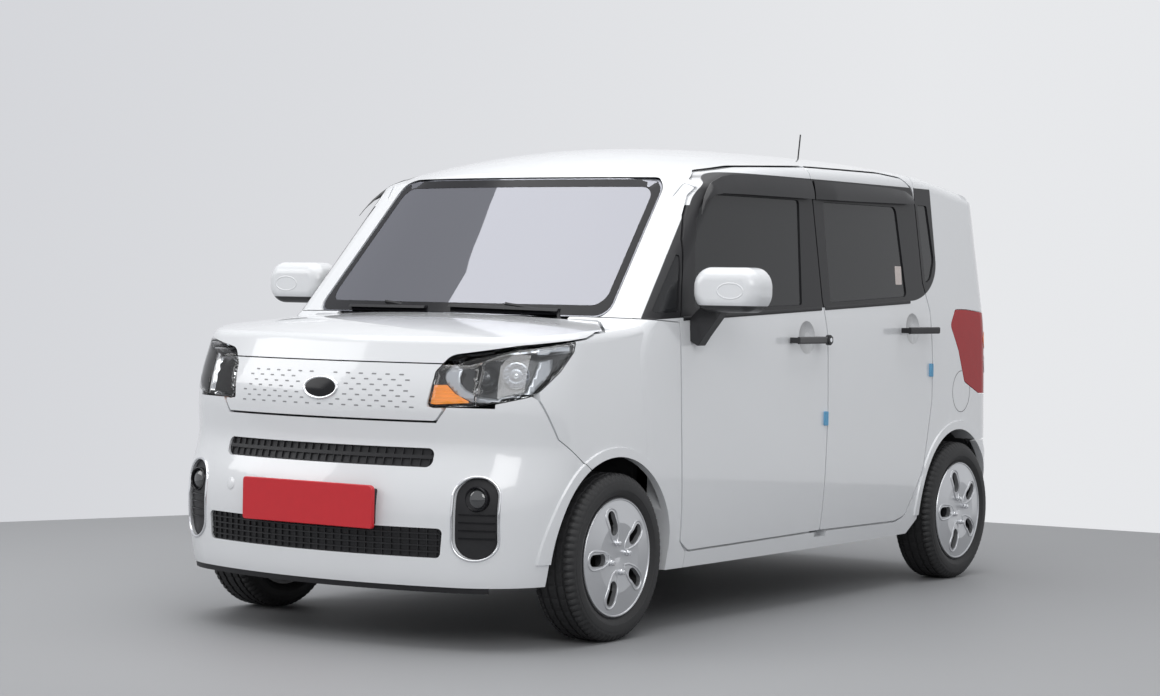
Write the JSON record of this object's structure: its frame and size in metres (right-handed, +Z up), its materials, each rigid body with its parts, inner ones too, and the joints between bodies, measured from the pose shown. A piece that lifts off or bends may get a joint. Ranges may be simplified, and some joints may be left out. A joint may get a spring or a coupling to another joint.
{
  "type": "kei car",
  "caption": "Small upright box-shaped road car with hinged doors on the left, a sliding door on the right, bonnet, tailgate, steered front wheels and a furnished cabin.",
  "frame": {"origin": "bottom centre of the bounding box, on the ground under the middle of the car", "axes": "+Z up, +X to the car's own left, +Y to the rear, so the front faces -Y"},
  "size_m": [2.144, 3.5851, 1.8204],
  "materials": {
    "white_paint": "gloss",
    "black_plastic": "satin",
    "grille_black": "satin",
    "lamp_clear": "gloss",
    "lamp_red": "gloss",
    "glass_tint": "gloss",
    "glass_clear": "gloss",
    "trim_grey": "matt",
    "seat_cloth": "matt",
    "underbody": "matt",
    "cast_metal": "satin",
    "steel_black": "satin",
    "steel_bare": "satin",
    "cover_silver": "satin",
    "tyre_rubber": "matt"
  },
  "bodies": {
    "body": {"platform": "underbody", "bulkhead": "underbody", "radiator_support": "steel_black", "side_frame_left": "white_paint", "side_frame_right": "white_paint", "roof_panel": "white_paint", "front_fenders": "white_paint", "front_bumper": "white_paint", "front_grilles": "grille_black", "headlamps": "lamp_clear", "tail_lamps": "lamp_red", "rear_bumper": "white_paint", "windscreen": "glass_clear", "side_glass": "glass_tint", "cowl": "black_plastic", "wipers": "black_plastic", "antenna": "black_plastic", "dashboard": "trim_grey", "front_seats": "seat_cloth", "rear_bench": "seat_cloth", "engine": "cast_metal", "front_subframe": "steel_black", "rear_axle": "steel_black", "fuel_tank": "black_plastic", "exhaust": "steel_bare", "sliding_door": "white_paint", "sliding_door_handle": "black_plastic"},
    "bonnet": {"bonnet": "white_paint"},
    "tailgate": {"tailgate": "white_paint", "tailgate_glass": "glass_tint"},
    "front_door_left": {"front_door_left": "white_paint", "front_door_left_glass": "glass_tint", "front_door_left_trim": "black_plastic"},
    "front_door_right": {"front_door_right": "white_paint", "front_door_right_glass": "glass_tint", "front_door_right_trim": "black_plastic"},
    "rear_door_left": {"rear_door_left": "white_paint", "rear_door_left_glass": "glass_tint", "rear_door_left_handle": "black_plastic"},
    "steering_wheel": {"steering_wheel": "black_plastic"},
    "knuckle_left": {"knuckle_left": "steel_black"},
    "knuckle_right": {"knuckle_right": "steel_black"},
    "wheel_front_left": {"wheel_front_left": "cover_silver", "tyre_front_left": "tyre_rubber"},
    "wheel_front_right": {"wheel_front_right": "cover_silver", "tyre_front_right": "tyre_rubber"},
    "wheel_rear_left": {"wheel_rear_left": "cover_silver", "tyre_rear_left": "tyre_rubber"},
    "wheel_rear_right": {"wheel_rear_right": "cover_silver", "tyre_rear_right": "tyre_rubber"}
  },
  "joints": [
    {"name": "bonnet_hinge", "type": "hinge", "parent": "body", "child": "bonnet", "pos_m": [0, -1.0575, 1.043], "axis": [-1, 0, 0], "range_deg": [0, 60]},
    {"name": "tailgate_hinge", "type": "hinge", "parent": "body", "child": "tailgate", "pos_m": [0, 1.5545, 1.648], "axis": [1, 0, 0], "range_deg": [0, 80]},
    {"name": "front_door_left_hinge", "type": "hinge", "parent": "body", "child": "front_door_left", "pos_m": [0.784, -0.7715, 0.68], "axis": [0, -0.042, 0.9991], "range_deg": [-65, 0]},
    {"name": "front_door_right_hinge", "type": "hinge", "parent": "body", "child": "front_door_right", "pos_m": [-0.784, -0.7715, 0.68], "axis": [0, -0.042, 0.9991], "range_deg": [0, 65]},
    {"name": "rear_door_left_hinge", "type": "hinge", "parent": "body", "child": "rear_door_left", "pos_m": [0.786, 0.2085, 0.72], "axis": [0, 0, 1], "range_deg": [-65, 0]},
    {"name": "steer_left", "type": "hinge", "parent": "body", "child": "knuckle_left", "pos_m": [0.645, -1.1575, 0.2], "axis": [-0.2272, 0, 0.9738], "range_deg": [-33, 33]},
    {"name": "steer_right", "type": "hinge", "parent": "body", "child": "knuckle_right", "pos_m": [-0.645, -1.1575, 0.2], "axis": [0.2272, 0, 0.9738], "range_deg": [-33, 33]},
    {"name": "steering_wheel_turn", "type": "hinge", "parent": "body", "child": "steering_wheel", "pos_m": [0.34, -0.3675, 0.985], "axis": [0, 0.8829, 0.4695], "range_deg": [-500, 500]},
    {"name": "wheel_spin_front_left", "type": "hinge", "parent": "knuckle_left", "child": "wheel_front_left", "pos_m": [0.705, -1.1575, 0.277], "axis": [1, 0, 0], "continuous": true},
    {"name": "wheel_spin_front_right", "type": "hinge", "parent": "knuckle_right", "child": "wheel_front_right", "pos_m": [-0.705, -1.1575, 0.277], "axis": [1, 0, 0], "continuous": true},
    {"name": "wheel_spin_rear_left", "type": "hinge", "parent": "body", "child": "wheel_rear_left", "pos_m": [0.705, 1.3625, 0.277], "axis": [1, 0, 0], "continuous": true},
    {"name": "wheel_spin_rear_right", "type": "hinge", "parent": "body", "child": "wheel_rear_right", "pos_m": [-0.705, 1.3625, 0.277], "axis": [1, 0, 0], "continuous": true}
  ],
  "couplings": [
    {"joint": "steer_right", "follows": "steer_left", "ratio": 1},
    {"joint": "steering_wheel_turn", "follows": "steer_left", "ratio": 15}
  ]
}
